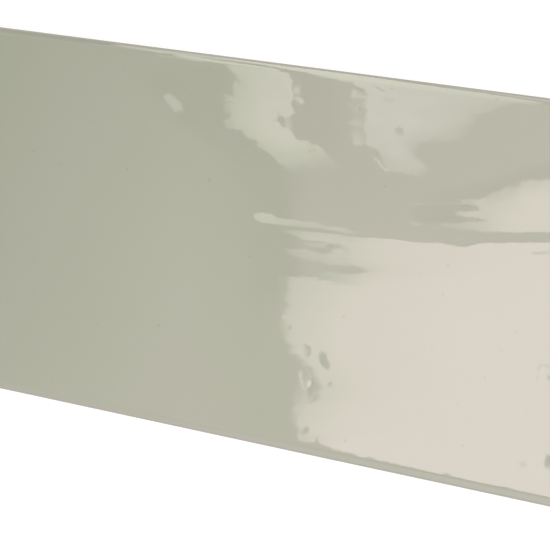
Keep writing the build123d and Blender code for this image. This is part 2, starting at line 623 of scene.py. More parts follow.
warm, cool = (1.0, 0.84, 0.857), (1.0, 0.92, 0.87)
pale, rosy, rimTint = (1.0, 0.87, 0.90), (1.0, 0.77, 0.85), (1.0, 0.96, 0.87)

cards = {
    # The room behind the lights, with its darker folds
    "leftWall": {
        "from": [(-60, 0), (-60, 500)], "to": [(300, 0), (300, 500)],
        "glow": ((0.0, 0.6, 0.8, 1.1), (0.6, 1.3, 1.9, 1.4), (1.8, 2.0, 2.6, 2.1)),
    },
    "backWall": {
        "from": [(262, 0), (275, 190), (262, 240), (262, 500)],
        "to": [(620, 0), (620, 190), (620, 240), (620, 500)],
        "tint": rosy, "glow": ((1.5, 2.4), (2.2, 2.5), (2.5, 2.7), (2.1, 2.7)), "soft": (0.12, 0, 0, 0),
    },
    "darkFold": {
        "from": [(112, 50), (126, 88), (150, 116), (188, 140), (216, 162), (234, 195), (240, 240),
                 (244, 280), (244, 310)],
        "to": [(250, 60), (246, 95), (248, 125), (268, 142), (292, 165), (298, 200), (308, 240), (308, 272),
               (288, 310)],
        "glow": ((0.9, 0.7), (0.9, 0.8), (1.2, 1.1), (1.4, 1.3), (1.5, 1.4)),
        "soft": (0.35, 0.3, 0.05, 0.1),
    },
    "foldShade": {
        "from": [(126, 68), (148, 90), (178, 106)], "to": [(168, 62), (194, 80), (218, 98)],
        "glow": (0.9, (0.65, 0.7), 0.9), "soft": (0.45, 0.45, 0.35, 0.35),
    },
    "lowerFold": {
        "from": [(242, 290), (236, 330), (234, 380), (236, 450)],
        "to": [(300, 290), (296, 330), (306, 380), (310, 450)],
        "glow": ((1.6, 1.8), (1.8, 2.0), (1.8, 2.1)), "soft": (0.3, 0.3, 0.2, 0),
    },
    "gapShade": {
        "from": [(296, 70), (300, 110), (302, 140), (330, 168)],
        "to": [(350, 76), (345, 110), (352, 140), (372, 168)],
        "tint": rosy, "glow": ((1.5, 1.8), (1.8, 1.9)), "soft": (0.1, 0.4, 0.0, 0.4),
    },
    "bayShade": {
        "from": [(404, 186), (440, 182), (470, 180), (490, 176), (510, 170), (530, 163), (562, 155)],
        "to": [(404, 202), (440, 203), (470, 204), (500, 200), (520, 192), (540, 186), (562, 182)],
        "tint": rosy, "glow": ((2.4, 2.0), (2.0, 1.8), (1.9, 1.8)), "soft": (0.35, 0.05, 0.25, 0),
    },

    # The large light, its foot along the near edge, and the pits in its border
    "mainLight": {
        "from": [(330, 232), (345, 236), (345, 242), (336, 245), (345, 250), (336, 256), (342, 264),
                 (358, 268), (362, 272), (344, 277), (345, 286), (333, 283.5), (320, 282.7), (316, 280.8),
                 (304, 279.5), (290, 277), (281, 276.5), (281, 284), (281, 292), (281.5, 301), (282, 309),
                 (279, 313), (277, 318), (277, 325), (277.5, 332), (281, 338), (285, 343), (288, 347),
                 (289, 350), (288.5, 353.5), (294, 354.5), (296, 357), (298.5, 360), (301, 364), (304, 368),
                 (307, 371), (310.5, 375), (314, 380), (315, 386), (314.5, 392), (313, 398), (310, 404),
                 (304, 403), (298, 403), (292.5, 404.5), (290, 409), (289.5, 416), (290, 421), (293, 425),
                 (295, 430), (296.5, 436)],
        "to": [(620, 232), (620, 260), (620, 300), (620, 340), (620, 380), (620, 436)],
        "glow": ((5.7, 6.7, 6.9), (6.1, 7.1, 7.1), (6.6, 7.1, 7.1)),
        "edge": ((0.76, 0.16), (0.76, 0.16), (0.74, 0.16), (0.63, 0.38), (0.7, 0.26), (0.72, 0.22),
                 (0.78, 0.2), (0.8, 0.2), (0.72, 0.24), (0.68, 0.26), (0.78, 0.13)),
        "soft": (0.005, 0, 0, 0), "ragged": (1.7, 0),
    },
    "mainFoot": {
        "from": [(297, 435), (460, 435), (620, 435)],
        "to": [(299, 441), (308, 441.7), (313, 442), (318, 443.5), (325, 447), (335, 450.5), (345, 452.3),
               (360, 456.5), (375, 460), (390, 463.5), (400, 466), (410, 469), (425, 472), (440, 475),
               (460, 479.5), (480, 484), (497, 488), (505, 488.5), (512, 490), (520, 492.5), (527, 491.5),
               (535, 495), (545, 497.5), (560, 500.5), (620, 513)],
        "glow": (4.8, 7.1, 7.1, 7.1, 7.1, 7.1), "ragged": (0, 1.1),
    },
    "cornerVeil": {
        "from": [(278, 276), (280, 290), (280, 300), (281, 312)],
        "to": [(294, 276), (293, 290), (293, 300), (288, 312)],
        "glow": 2.0, "soft": (0, 1, 0, 0.15),
    },
    "pitHaze": {
        "from": [(298, 366), (297, 372), (296, 380), (294, 388), (291, 395), (290, 402), (290, 410),
                 (290, 420)],
        "to": [(305, 366), (311, 372), (314.5, 379), (315.5, 386), (315, 393), (313.5, 399), (306, 408),
               (301, 420)],
        "glow": ((2.2, 2.6, 3.6), (2.1, 3.2, 3.7), (2.3, 3.5, 3.8), (2.7, 4.1, 5.0), (3.4, 4.5, 5.0)),
        "soft": (0.2, 0.15, 0.15, 0.15), "ragged": (0.6, 0.6), "mottle": 0.05,
    },
    "pitDarkUpper": {
        "from": [(300, 366), (302, 372), (303, 378), (302, 385)],
        "to": [(305, 368), (308.5, 373), (309, 378), (305.5, 385)],
        "glow": ((2.4, 2.6), (2.3, 2.5), (2.6, 2.8), (2.8, 3.2)), "soft": (0.3, 0.3, 0.2, 0.3),
    },
    "pitDark": {
        "from": [(309.5, 374), (310.5, 380), (310.5, 386), (306.5, 390), (308, 397), (308, 406)],
        "to": [(312.5, 374), (314.5, 380), (315, 386), (313.5, 392), (312, 398), (309.5, 406)],
        "glow": (2.6, (1.4, 2.0), (1.5, 2.1), (2.0, 2.6), (3.6, 3.8)), "soft": (0.25, 0.3, 0.2, 0.3),
    },
    "pitStreak": {
        "from": [(298.5, 371), (299, 378), (300.5, 385), (301.5, 392)],
        "to": [(301.5, 371), (302.5, 378), (304, 385), (305, 392)],
        "glow": ((5.4, 5.0), (6.2, 5.4), (4.6, 4.4), (6.0, 5.4)), "soft": (0.25, 0.3, 0.15, 0.25),
    },
    "pitSpark": {
        "from": [(307, 380), (306.5, 384), (307, 388)], "to": [(311, 380), (312, 384), (311, 388)],
        "glow": (6.4, 7.2, 6.0), "soft": 0.2,
    },
    "longPitDark": {
        "from": [(319, 351), (318.5, 357), (320.5, 362), (322.5, 366), (325, 371)],
        "to": [(323.5, 350), (326, 355.5), (328, 360), (330, 365), (330.5, 370)],
        "glow": ((3.8, 4.2), (2.0, 2.6), (1.4, 2.0), (2.0, 2.6), (3.6, 3.8)),
        "soft": (0.4, 0.4, 0.25, 0.25), "ragged": (0.5, 0.5),
    },
    "cornerPitDark": {
        "from": [(301.5, 344.5), (304, 348.5), (305, 352), (303.5, 357)],
        "to": [(307.5, 344), (311.5, 348), (310.5, 352.5), (306.5, 357)],
        "glow": (3.4, (2.4, 2.2), (2.5, 2.8), (3.4, 3.6)), "soft": (0.3, 0.3, 0.25, 0.3),
        "ragged": (0.5, 0.5),
    },
    "footPitDark": {
        "from": [(302, 425), (302.5, 430), (301, 436)], "to": [(309.5, 425), (309.5, 430), (304.5, 437)],
        "glow": ((3.2, 3.6), (1.9, 2.4), (3.2, 3.6)), "soft": (0.35, 0.4, 0.3, 0.35),
    },
    "footNotch": {
        "from": [(314, 435.5), (314.5, 440), (314.5, 446)], "to": [(318, 435.5), (319, 440), (321.5, 446)],
        "glow": (4.4, (2.6, 2.9), 2.1), "soft": (0.3, 0.3, 0.3, 0),
    },
    "dotPitDark": {
        "from": [(328.3, 381.5), (328.3, 386.5)], "to": [(332.3, 381.5), (332.3, 386.5)],
        "glow": 2.8, "soft": (0.3, 0.3, 0.25, 0.3),
    },
    "borderDot": {
        "from": [(287.5, 324), (288, 331)], "to": [(292, 324), (292, 331)],
        "glow": 2.4, "soft": (0.3, 0.3, 0.25, 0.25),
    },
    "borderCurl": {
        "from": [(280.5, 329), (281, 336), (285, 342)], "to": [(283, 328.5), (284.5, 335), (288, 340.5)],
        "glow": (3.0, (2.3, 2.4), 3.0), "soft": (0.25, 0.25, 0.15, 0.15),
    },
    "borderNub": {
        "from": [(281.5, 311), (281, 315), (280.5, 321)], "to": [(284.5, 310), (285.5, 314), (284.5, 321)],
        "glow": (4.6, (5.6, 5.4), 4.6), "soft": 0.3,
    },

    # Marks further inside the large light
    "sidePitDark": {
        "from": [(542.6, 453), (543.9, 458), (544.9, 463), (546.4, 470)],
        "to": [(546, 452), (551, 457), (552, 463), (552, 470)],
        "glow": (5.4, (1.6, 1.8), (1.6, 1.8), (3.0, 3.2)), "soft": (0.2, 0.1, 0.15, 0.2),
    },
    "scratchDark": {
        "from": [(538, 364), (543, 364.3), (548, 365.3), (555, 365.6)],
        "to": [(538, 366), (543, 366.8), (548, 367.8), (555, 367.8)],
        "glow": (6.2, 4.6, 4.9), "soft": (0.25, 0.25, 0.15, 0),
    },
    "scratchFork": {
        "from": [(539.3, 360), (539.3, 364), (536.5, 369), (536.5, 372)],
        "to": [(541.5, 360), (542.5, 364), (541, 369), (538.5, 372)],
        "glow": (6.0, 5.2, 5.9), "soft": (0.3, 0.3, 0.15, 0.15),
    },
    "scratchDot": {
        "from": [(535.3, 375.8), (539.6, 375)], "to": [(535.8, 378), (540, 377.4)],
        "glow": 3.2, "soft": (0.25, 0.25, 0.2, 0.2),
    },
    "scratchPit": {
        "from": [(545.5, 374.5), (549, 373.8), (555, 373.8)], "to": [(546, 381), (549, 381.5), (555, 382)],
        "glow": (5.4, (3.0, 3.4), (3.0, 3.4)), "soft": (0.3, 0.3, 0.2, 0),
    },
    "pitCluster": {
        "from": [(516.5, 463), (521, 458.5), (527, 458)], "to": [(519, 469), (524, 470), (529.5, 468.5)],
        "glow": ((6.3, 6.0), (5.6, 5.4), (6.2, 5.8)), "soft": 0.25, "mottle": 0.1,
    },
    "scratchDrop": {
        "from": [(525.3, 407), (527, 416.5)], "to": [(527.8, 406.5), (529.6, 416)],
        "glow": 5.8, "soft": (0.3, 0.3, 0.25, 0.25),
    },

    # Torn streaks at the upper end of the large light
    "streakUpper": {
        "from": [(282, 230), (292, 230), (300, 231.5), (308, 231.5), (320, 232), (326, 233.5), (340, 234.5),
                 (347, 235.5), (356, 237.5)],
        "to": [(282, 232.5), (290, 234), (297, 237.5), (304, 240.5), (316, 241.5), (326, 242.5), (336, 244),
               (346, 245), (356, 246)],
        "tint": cool,
        "glow": (2.3, (2.9, 2.8), 3.3, (4.0, 4.2), (4.1, 4.6), (4.3, 4.8), (4.2, 4.8), (4.2, 5.2),
                 (4.5, 5.4)), "soft": (0.06, 0.1, 0.1, 0.1), "ragged": (0.4, 0.5),
    },
    "streakMiddle": {
        "from": [(303, 241.5), (312, 242.5), (322, 242), (331, 243)],
        "to": [(303, 245), (312, 247), (322, 247.5), (330, 247)],
        "tint": cool, "glow": (2.7, (3.4, 3.2), (3.7, 3.4), (3.9, 3.4)), "soft": (0.2, 0.2, 0.25, 0.15),
    },
    "streakLower": {
        "from": [(282, 248.5), (292, 248), (305, 248.5), (312, 251), (322, 253.5), (330, 253.5), (334, 249),
                 (352, 247)],
        "to": [(284, 253), (294, 256), (304, 259), (312, 261.5), (320, 261.5), (327, 264.5), (337, 265),
               (356, 269)],
        "tint": cool,
        "glow": ((2.5, 2.3), (2.8, 2.5), (3.8, 3.2), (4.0, 3.2), (3.7, 3.4), (4.2, 3.6), (4.6, 3.9),
                 (5.0, 4.2)), "soft": 0.1, "ragged": (0.5, 0.5),
    },
    "streakGap": {
        "from": [(307, 246.5), (316, 247.3), (324, 249), (331, 250)],
        "to": [(310, 249.5), (316, 251.5), (323, 253.5), (330, 254)],
        "glow": (2.7, 2.0, 2.1, (2.4, 2.8)), "soft": (0.25, 0.25, 0.15, 0.15), "ragged": (0.3, 0.3),
    },
    "streakBreak": {
        "from": [(324, 244), (331, 243.7), (340, 245)], "to": [(324, 247.5), (331, 248.3), (338, 248)],
        "glow": (2.6, (1.8, 1.9), 3.2), "soft": 0.25,
    },
    "wedgeGlow": {
        "from": [(319, 272.5), (326, 271.5), (336, 272), (350, 273.5), (362, 273)],
        "to": [(316, 280.5), (322, 281), (333, 281.5), (345, 285), (362, 285)],
        "tint": cool, "glow": ((2.6, 2.4), (3.4, 2.8), (3.6, 3.3), (4.2, 4.6), (5.0, 5.3)),
        "soft": (0.1, 0.12, 0.12, 0.15), "ragged": (0.5, 0.3),
    },

    # The dark band along the ridge, and the bay above it
    "ridgeBand": {
        "from": [(345, 226), (400, 227.5), (450, 228), (500, 228), (620, 228)],
        "to": [(345, 234.5), (352, 237), (375, 238), (400, 239.8), (410, 241), (419, 242), (424, 243.2),
               (432, 242.8), (440, 243), (448, 244.5), (455, 245.5), (460, 246.5), (466, 247), (470, 246),
               (475, 244), (480, 243), (500, 243), (530, 242.8), (620, 242)],
        "tint": rosy,
        "glow": ((2.5, 2.6, 2.6, 2.5), (2.2, 2.5, 2.7, 2.6), (2.0, 2.4, 2.5, 2.3), (2.2, 2.3, 2.3, 2.2)),
        "soft": (0.3, 0, 0.05, 0), "ragged": (0, 0.25),
    },
    "ridgeLip": {
        "from": [(463, 243), (470, 241.5), (480, 240.8), (500, 240.8), (540, 240.8), (620, 240.5)],
        "to": [(464, 247), (470, 246), (480, 243), (500, 243), (540, 242.8), (620, 242)],
        "tint": rosy, "glow": 2.1, "soft": (0.5, 0.1, 0.1, 0),
    },
    "ridgeShade": {
        "from": [(266, 224.5), (280, 226), (300, 227.5), (320, 229), (332, 231.5), (346, 233.5),
                 (351, 235.3), (376, 236)],
        "to": [(266, 229), (280, 229), (300, 230.5), (320, 231.5), (332, 233.5), (346, 235.5), (351, 237.5),
               (376, 238.5)],
        "tint": rosy, "glow": ((1.4, 1.5), (1.8, 1.9), 2.0), "soft": (0.3, 0.3, 0.1, 0.3),
    },
    "bayDark": {
        "from": [(406, 204), (440, 204), (480, 204)], "to": [(412, 224), (445, 224), (484, 222)],
        "tint": rosy, "glow": ((2.1, 2.0), 1.8, (1.9, 2.0)), "soft": (0.1, 0.1, 0.15, 0),
    },
    "bayBits": {
        "from": [(407, 202), (424, 202)], "to": [(408, 205.5), (424, 205.5)],
        "glow": 3.0, "soft": 0.3, "ragged": (0.3, 0.3),
    },
    "bayBitsLower": {
        "from": [(408, 221.5), (424, 221.5)], "to": [(408, 225.5), (424, 225.5)],
        "glow": ((3.5, 3.3),), "soft": 0.3, "ragged": (0.3, 0.3),
    },

    # The light beyond the ridge, with its fingers
    "upperRightLight": {
        "from": [(478, 199), (482, 197.5), (486, 196.5), (491, 195.5), (494, 193), (500, 192), (502, 190),
                 (504, 188), (508, 186.5), (513, 185.5), (518, 185), (520, 182), (523, 180.7), (530, 180.5),
                 (540, 180), (545, 178.8), (552, 177.5), (620, 166)],
        "to": [(477, 230.5), (482, 231), (486, 232), (491, 232.3), (495, 232.3), (500, 232.5), (503, 232.5),
               (505, 232.8), (509, 232.8), (513, 232.8), (518, 232.8), (520, 232.8), (523, 232.8),
               (530, 232.8), (540, 233), (545, 233), (552, 233), (620, 233)],
        "glow": ((3.9, 4.4, 4.6, 3.9), (3.4, 5.4, 5.4, 5.5), (3.4, 5.3, 6.0, 5.8), (4.2, 6.2, 6.3, 6.1),
                 (5.0, 6.4, 6.3, 6.2)), "soft": (0.025, 0.03, 0.03, 0), "ragged": (0.5, 0.2),
        "mottle": 0.01,
    },
    "fingerUpper": {
        "from": [(455, 199.5), (462, 199), (470, 199.5), (478, 199.5), (486, 198)],
        "to": [(457, 204.5), (464, 204.5), (472, 205), (479, 207), (486, 209)],
        "glow": (2.8, (3.3, 3.2), (3.4, 3.6), (4.9, 4.7), (5.0, 4.6)), "soft": (0.15, 0.15, 0.15, 0.05),
    },
    "fingerMiddle": {
        "from": [(456, 212.5), (462, 211.5), (470, 210.8), (480, 210.5), (492, 210)],
        "to": [(457, 215.5), (462, 217), (470, 218), (480, 217.7), (492, 217.5)],
        "glow": ((3.8, 3.4), (4.4, 4.2), (5.0, 4.8), (5.0, 4.8), 4.8), "soft": (0.12, 0.12, 0.08, 0.05),
    },
    "fingerLower": {
        "from": [(437, 226), (446, 224), (456, 223.5), (466, 222), (476, 221.5), (492, 221)],
        "to": [(437, 227.3), (446, 227.2), (456, 229), (466, 229.5), (474, 230), (486, 232.8)],
        "glow": ((3.4, 3.2), (3.3, 3.0), (3.3, 3.2), (4.0, 3.5), (4.3, 4.0), (4.8, 4.6)),
        "soft": (0.12, 0.1, 0.12, 0.05),
    },
    "bayStreakUpper": {
        "from": [(438, 205), (456, 204.7), (466, 204), (472, 205), (478, 207)],
        "to": [(438, 208), (456, 209), (466, 210), (472, 210.7), (477, 210)],
        "glow": (2.0, 1.7, (1.4, 1.6), (1.8, 2.2), (3.0, 3.4)), "soft": (0.25, 0.25, 0.2, 0.15),
    },
    "bayStreakLower": {
        "from": [(436, 216), (452, 216.5), (464, 217.3), (470, 218.3), (480, 218), (489, 218.7)],
        "to": [(436, 222), (452, 222), (464, 222), (470, 221.5), (480, 222), (488, 221.7)],
        "glow": (1.8, 1.7, 1.9, 2.7, 1.9, 2.8), "soft": (0.25, 0.25, 0.2, 0.1),
    },
    "ridgePitDark": {
        "from": [(530, 250.5), (541, 250), (552, 249.5)], "to": [(530, 254.8), (541, 254.3), (552, 253.8)],
        "glow": (4.0, 4.2, 5.2), "soft": (0.35, 0.35, 0.2, 0),
    },

    # The left patch near the far edge
    "patchTail": {
        "from": [(156, 30), (180, 33), (205, 36)], "to": [(156, 54.5), (180, 58), (205, 61.5)],
        "tint": cool, "glow": (3.6, 4.2), "soft": (0, 0.06, 0.15, 0.1), "ragged": (0, 0.3),
    },
    "haloUpper": {
        "from": [(222, 93), (222, 98), (224, 102)], "to": [(234, 94), (234, 98), (234, 102)],
        "tint": cool, "glow": ((2.4, 3.0), (2.7, 3.6)), "soft": (0.45, 0, 0.4, 0.25), "ragged": (1.2, 0),
    },
    "haloMiddle": {
        "from": [(222, 101), (222, 107), (225, 115)], "to": [(233, 101), (233, 107), (233, 115)],
        "tint": cool, "glow": ((2.4, 3.0), (2.2, 2.6), (2.6, 3.3)), "soft": (0.35, 0, 0.2, 0.3),
        "ragged": (1.2, 0),
    },
    "haloLower": {
        "from": [(226, 116), (221, 122), (228, 131)], "to": [(233, 116), (234, 124), (237, 131)],
        "tint": cool, "glow": ((2.4, 3.0), (2.2, 2.6), (2.0, 2.2)), "soft": (0.35, 0, 0.3, 0.25),
        "ragged": (1.2, 0),
    },
    "upperLeftLight": {
        "from": [(200, 58.5), (215, 61), (222, 62.5), (228, 67), (232, 72), (236, 75.5), (234, 82),
                 (232, 88), (232, 93), (234, 97), (231, 101), (230.5, 108), (230, 114), (230.5, 120),
                 (232, 125), (235, 129), (240, 130.5), (244, 134), (248, 138), (252, 140.5), (256, 142),
                 (257, 145), (261, 147.5), (266, 152), (270, 156), (273, 158.5), (280, 165), (285, 169),
                 (289, 172), (300, 174)],
        "to": [(287, 70.5), (288.5, 72), (290, 75), (291.5, 78), (292.5, 81), (294, 84), (294, 88),
               (294, 93), (294, 97), (293.5, 100), (292.5, 103), (292.5, 108), (294.5, 111), (293, 113.5),
               (291, 116), (288.5, 118.5), (287, 121), (287.5, 125), (290, 128), (292, 131), (295, 136),
               (298, 140), (303, 140.8), (308, 141.5), (313, 143.5), (319, 145), (324, 151), (331, 158),
               (338, 167), (345, 173)],
        "tint": cool,
        "glow": ((4.0, 4.3, 4.6), (3.0, 4.3, 4.8), (3.3, 4.5, 4.8), (3.5, 4.7, 4.9), (3.2, 4.6, 4.5),
                 (2.6, 2.8, 2.8)), "soft": (0.04, 0.02, 0.03, 0.12), "ragged": (1.0, 0.9), "mottle": 0.03,
    },
    "patchInlet": {
        "from": [(231, 71), (237, 75.5), (243, 83)], "to": [(229, 79), (234, 81.5), (241, 87)],
        "glow": (1.2, (1.6, 1.5), (3.0, 2.9)), "soft": (0.15, 0.25, 0, 0.3),
    },
    "patchCrease": {
        "from": [(243, 81), (249, 86), (251, 91)], "to": [(241, 84), (245, 89), (248, 92)],
        "glow": 3.3, "soft": 0.35,
    },
    "biteHaze": {
        "from": [(284, 117), (285, 121), (286, 128)], "to": [(292, 116), (292, 121), (293, 129)],
        "glow": ((4.0, 3.0), (3.4, 2.6), (4.4, 3.2)), "soft": (0.1, 0.25, 0.15, 0.1), "ragged": (0.3, 0.5),
    },
    "patchBite": {
        "from": [(278.5, 112.5), (277, 117), (277.5, 121), (281, 126), (287, 131)],
        "to": [(281, 112.5), (284.7, 117), (285.7, 121), (286.7, 126), (289, 130)],
        "glow": ((2.2, 2.0), (1.5, 1.4), (1.4, 1.5), (1.8, 2.1), 3.4), "soft": (0.15, 0.2, 0.15, 0.2),
    },
    "biteTip": {
        "from": [(272.5, 119.5), (278.5, 116.5)], "to": [(272.5, 120.7), (278.5, 122)],
        "glow": (3.4, 2.0), "soft": (0.3, 0.3, 0.2, 0.2),
    },
    "tongueDotDark": {
        "from": [(312, 149), (312, 153)], "to": [(316.5, 149), (316.5, 153)],
        "glow": 3.0, "soft": 0.3,
    },
    "patchBeadUpper": {
        "from": [(294, 84), (294.3, 88), (295, 91), (294.5, 96)],
        "to": [(301, 82), (301.5, 88), (300.5, 91), (301, 97)],
        "tint": cool, "glow": ((2.8, 3.2), (3.4, 3.6), (4.8, 3.8), 2.6), "soft": (0, 0.45, 0.35, 0.25),
        "ragged": (0, 1.0),
    },
    "patchBeadLower": {
        "from": [(292.5, 97.5), (296, 101), (300, 107)], "to": [(297, 95.5), (303.5, 99.5), (303.5, 104.5)],
        "tint": cool, "glow": ((4.4, 4.0), 4.9, (4.6, 4.4)), "soft": (0.3, 0.35, 0.1, 0.25),
        "ragged": (0.6, 0.8),
    },

    # The middle patch near the far edge
    "rimSpill": {
        "from": [(318, 40), (345, 43), (372, 48)],
        "to": [(318, 75), (328, 77.2), (335, 79.5), (341, 80.7), (350, 81), (354, 82), (357, 85.5),
               (362, 91), (372, 93)],
        "tint": cool, "glow": (5.3, (5.4, 5.3), (5.2, 4.9)), "soft": (0, 0.04, 0.12, 0.1),
        "ragged": (0, 0.4),
    },
    "upperMidLight": {
        "from": [(338, 0), (351, 80), (356, 85), (359, 88.5), (364, 92), (364.5, 97), (362.5, 101),
                 (362.5, 107), (364, 111), (364.5, 118), (365.5, 122), (364, 126), (364, 131), (365, 136),
                 (366, 146)],
        "to": [(552, 20), (552, 90), (540, 95), (532, 97), (524, 100), (515, 103), (505, 106), (496, 110),
               (488, 114), (480, 119), (474, 124), (469, 129), (465, 134), (462, 138), (458, 142)],
        "tint": pale,
        "glow": ((5.0, 5.0, 4.6, 3.4), (4.9, 4.4, 4.0, 3.3), (4.8, 4.7, 3.9, 3.0), (4.5, 4.7, 4.4, 2.9),
                 (4.5, 4.5, 3.2, 2.8)), "soft": (0.008, 0.05, 0, 0.05), "ragged": (1.0, 0), "mottle": 0.04,
    },
    "upperMidFoot": {
        "from": [(363.5, 136), (366, 143), (367, 147), (374, 150), (378, 154), (381, 158), (384, 163),
                 (387, 168), (391, 171), (397, 174)],
        "to": [(430, 136), (424, 143), (421, 148), (420, 153), (423, 158), (430, 163), (436, 167),
               (434, 170), (428, 174), (422, 178)],
        "tint": pale, "glow": ((4.8, 4.8, 3.5), (3.8, 4.5, 3.1), (3.7, 4.2, 3.2), (3.0, 3.1, 3.0)),
        "soft": (0.04, 0.3, 0.12, 0.1), "ragged": (0.9, 0), "mottle": 0.04,
    },
    "footHook": {
        "from": [(370, 156), (374.5, 162), (380, 168), (388, 173.5)],
        "to": [(375, 155), (379, 160), (384.5, 165.5), (391, 170.5)],
        "glow": ((3.6, 3.4), (4.2, 3.7), (4.4, 4.0), (4.6, 4.4)), "soft": (0.3, 0.3, 0.2, 0.1),
        "ragged": (0.6, 0.5),
    },
    "footDarkUpper": {
        "from": [(369, 148), (374, 153), (380, 159)], "to": [(374.5, 148), (380, 152.5), (385, 158.5)],
        "glow": (2.5, 1.9, 2.3), "soft": (0.15, 0.15, 0.2, 0.2), "ragged": (0.3, 0.3),
    },
    "footDarkLower": {
        "from": [(377.5, 158), (380, 162), (383, 166)], "to": [(382, 157), (384.5, 161), (386, 165)],
        "glow": 2.4, "soft": (0.25, 0.25, 0.2, 0.2),
    },
    "chipHaze": {
        "from": [(350.5, 89), (350.5, 98), (350.5, 108), (350.5, 118), (350.5, 130)],
        "to": [(364, 90), (364, 98), (363, 105), (364.5, 118), (365, 130)],
        "glow": ((2.5, 2.7), (2.5, 2.6), 2.7, 2.3, 2.6), "soft": (0.25, 0, 0.1, 0), "ragged": (0.8, 0),
        "mottle": 0.06,
    },
    "paleChipUpper": {
        "from": [(350.5, 89), (350.8, 94), (352, 99.5)], "to": [(359, 89), (359, 93), (357, 98.5)],
        "glow": ((3.6, 3.4), (4.6, 4.0), (4.4, 4.0)), "soft": (0.2, 0.3, 0.25, 0.3), "ragged": (0.8, 0.8),
    },
    "chipDark": {
        "from": [(357.5, 86.5), (361, 87.5), (366, 89)], "to": [(358, 90.5), (361, 92), (366, 93)],
        "glow": (1.6, (1.0, 1.1), 2.4), "soft": (0.25, 0.25, 0.15, 0.25), "ragged": (0.3, 0.3),
    },
    "chipSpeck": {
        "from": [(348.5, 102), (348.5, 108.5)], "to": [(351.5, 102), (351.5, 108.5)],
        "glow": ((3.5, 3.4),), "soft": 0.3,
    },
    "chipBar": {
        "from": [(354, 93.5), (366, 93.5)], "to": [(355, 97.8), (366, 97.3)],
        "glow": ((4.0, 3.6), (5.2, 4.8)), "soft": (0.35, 0.35, 0.3, 0),
    },
    "chipRow": {
        "from": [(349, 120.5), (365, 121)], "to": [(349, 126), (365, 126)],
        "glow": ((3.9, 3.7), (3.6, 3.2)), "soft": (0.35, 0.35, 0.2, 0.1), "ragged": (0.5, 0.5),
    },
    "paleChipLower": {
        "from": [(350.3, 128), (350, 134), (350.8, 140), (353, 147)],
        "to": [(364, 128.5), (365, 134), (366, 140), (364, 146.5)],
        "glow": ((3.5, 3.0, 2.8, 2.7), (4.2, 3.4, 2.8, 2.8), (3.8, 4.3, 3.2, 2.9), (3.4, 4.1, 4.2, 3.4)),
        "soft": (0.18, 0.04, 0.2, 0.15), "ragged": (0.8, 0.5), "mottle": 0.08,
    },
    "rimPitDark": {
        "from": [(373, 83.8), (379, 85.2), (384, 87), (388, 89)],
        "to": [(374, 87), (380, 89), (385, 90.8), (388.5, 91.5)],
        "glow": (2.8, (1.2, 1.4), (1.2, 1.4), 2.8), "soft": (0.25, 0.25, 0.2, 0.2), "ragged": (0.3, 0.3),
    },
    "patchDashDark": {
        "from": [(384, 97.5), (394, 97.5)], "to": [(384, 101.5), (394, 101.5)],
        "glow": 3.7, "soft": (0.3, 0.3, 0.25, 0.25),
    },
    "patchShadeDark": {
        "from": [(464, 117), (474, 120), (482, 126)], "to": [(482, 111), (492, 116), (494, 122)],
        "glow": ((2.5, 2.2), (2.0, 2.2)), "soft": (0.4, 0.4, 0.35, 0.35),
    },
    "patchDotDark": {
        "from": [(395.5, 127.8), (396.5, 131), (398, 137)],
        "to": [(400, 127.8), (402.8, 131.5), (403, 137)],
        "glow": (1.6, 2.6, 3.5), "soft": (0.3, 0.3, 0.15, 0.3), "ragged": (0.3, 0.3),
    },

    # Two streaks by themselves
    "ridgeStreak": {
        "from": [(253.5, 214), (257, 212.5), (264, 212), (272, 213), (277, 217.5), (285, 218.5),
                 (296, 218.5), (302, 221), (315, 221.5), (322, 225), (330, 226), (342, 227), (352, 230.5),
                 (366, 232.5)],
        "to": [(254, 220), (258, 221.5), (263, 223.5), (272, 223.5), (279, 225), (288, 226), (298, 226.5),
               (305, 227), (313, 228), (322, 229), (330, 230), (340, 231), (350, 234), (366, 235)],
        "tint": cool, "glow": ((3.9, 3.7), (4.3, 4.1), (4.0, 3.7), (3.7, 3.5), (3.9, 3.6), 4.1, (3.4, 3.3)),
        "soft": (0.12, 0.06, 0.03, 0.15), "ragged": (0.3, 0.3),
    },
    "smallStreak": {
        "from": [(160, 94), (166, 102), (175, 113)], "to": [(170, 92), (178, 99), (187, 109)],
        "tint": cool, "glow": ((2.9, 2.7), (3.1, 2.9)), "soft": (0.2, 0.2, 0.15, 0.15),
        "ragged": (0.5, 0.5),
    },
}


def makeCardMaterial():
    material, tree, _ = addMaterial("lightCard")
    tree.nodes.clear()
    glow = addNode(tree, "ShaderNodeAttribute", attribute_name="glow")
    emission = addNode(tree, "ShaderNodeEmission", {"Color": glow.outputs["Color"]})
    clear = addNode(tree, "ShaderNodeBsdfTransparent")
    mix = addNode(tree, "ShaderNodeMixShader", {
        "Fac": glow.outputs["Alpha"], 1: clear.outputs[0], 2: emission.outputs[0]})
    addNode(tree, "ShaderNodeOutputMaterial", {"Surface": mix.outputs[0]})
    return material


cardMaterial = makeCardMaterial()


def refine(points, count):  # the same line with evenly spaced points by number
    points = np.array(points, float)
    at = np.linspace(0, len(points) - 1, count)
    return np.stack([np.interp(at, range(len(points)), values) for values in points.T], axis=1)


def rampUp(share, width):
    return ease(np.clip(share / width, 0, 1)) if width > 0 else np.ones_like(share)


def spreadLevels(levels, rows, columns):  # a number, or a row of numbers or rows, over a card's points
    levels = [levels] if np.isscalar(levels) else levels
    return refine([refine(np.atleast_1d(row)[:, None], columns)[:, 0] for row in levels], rows)


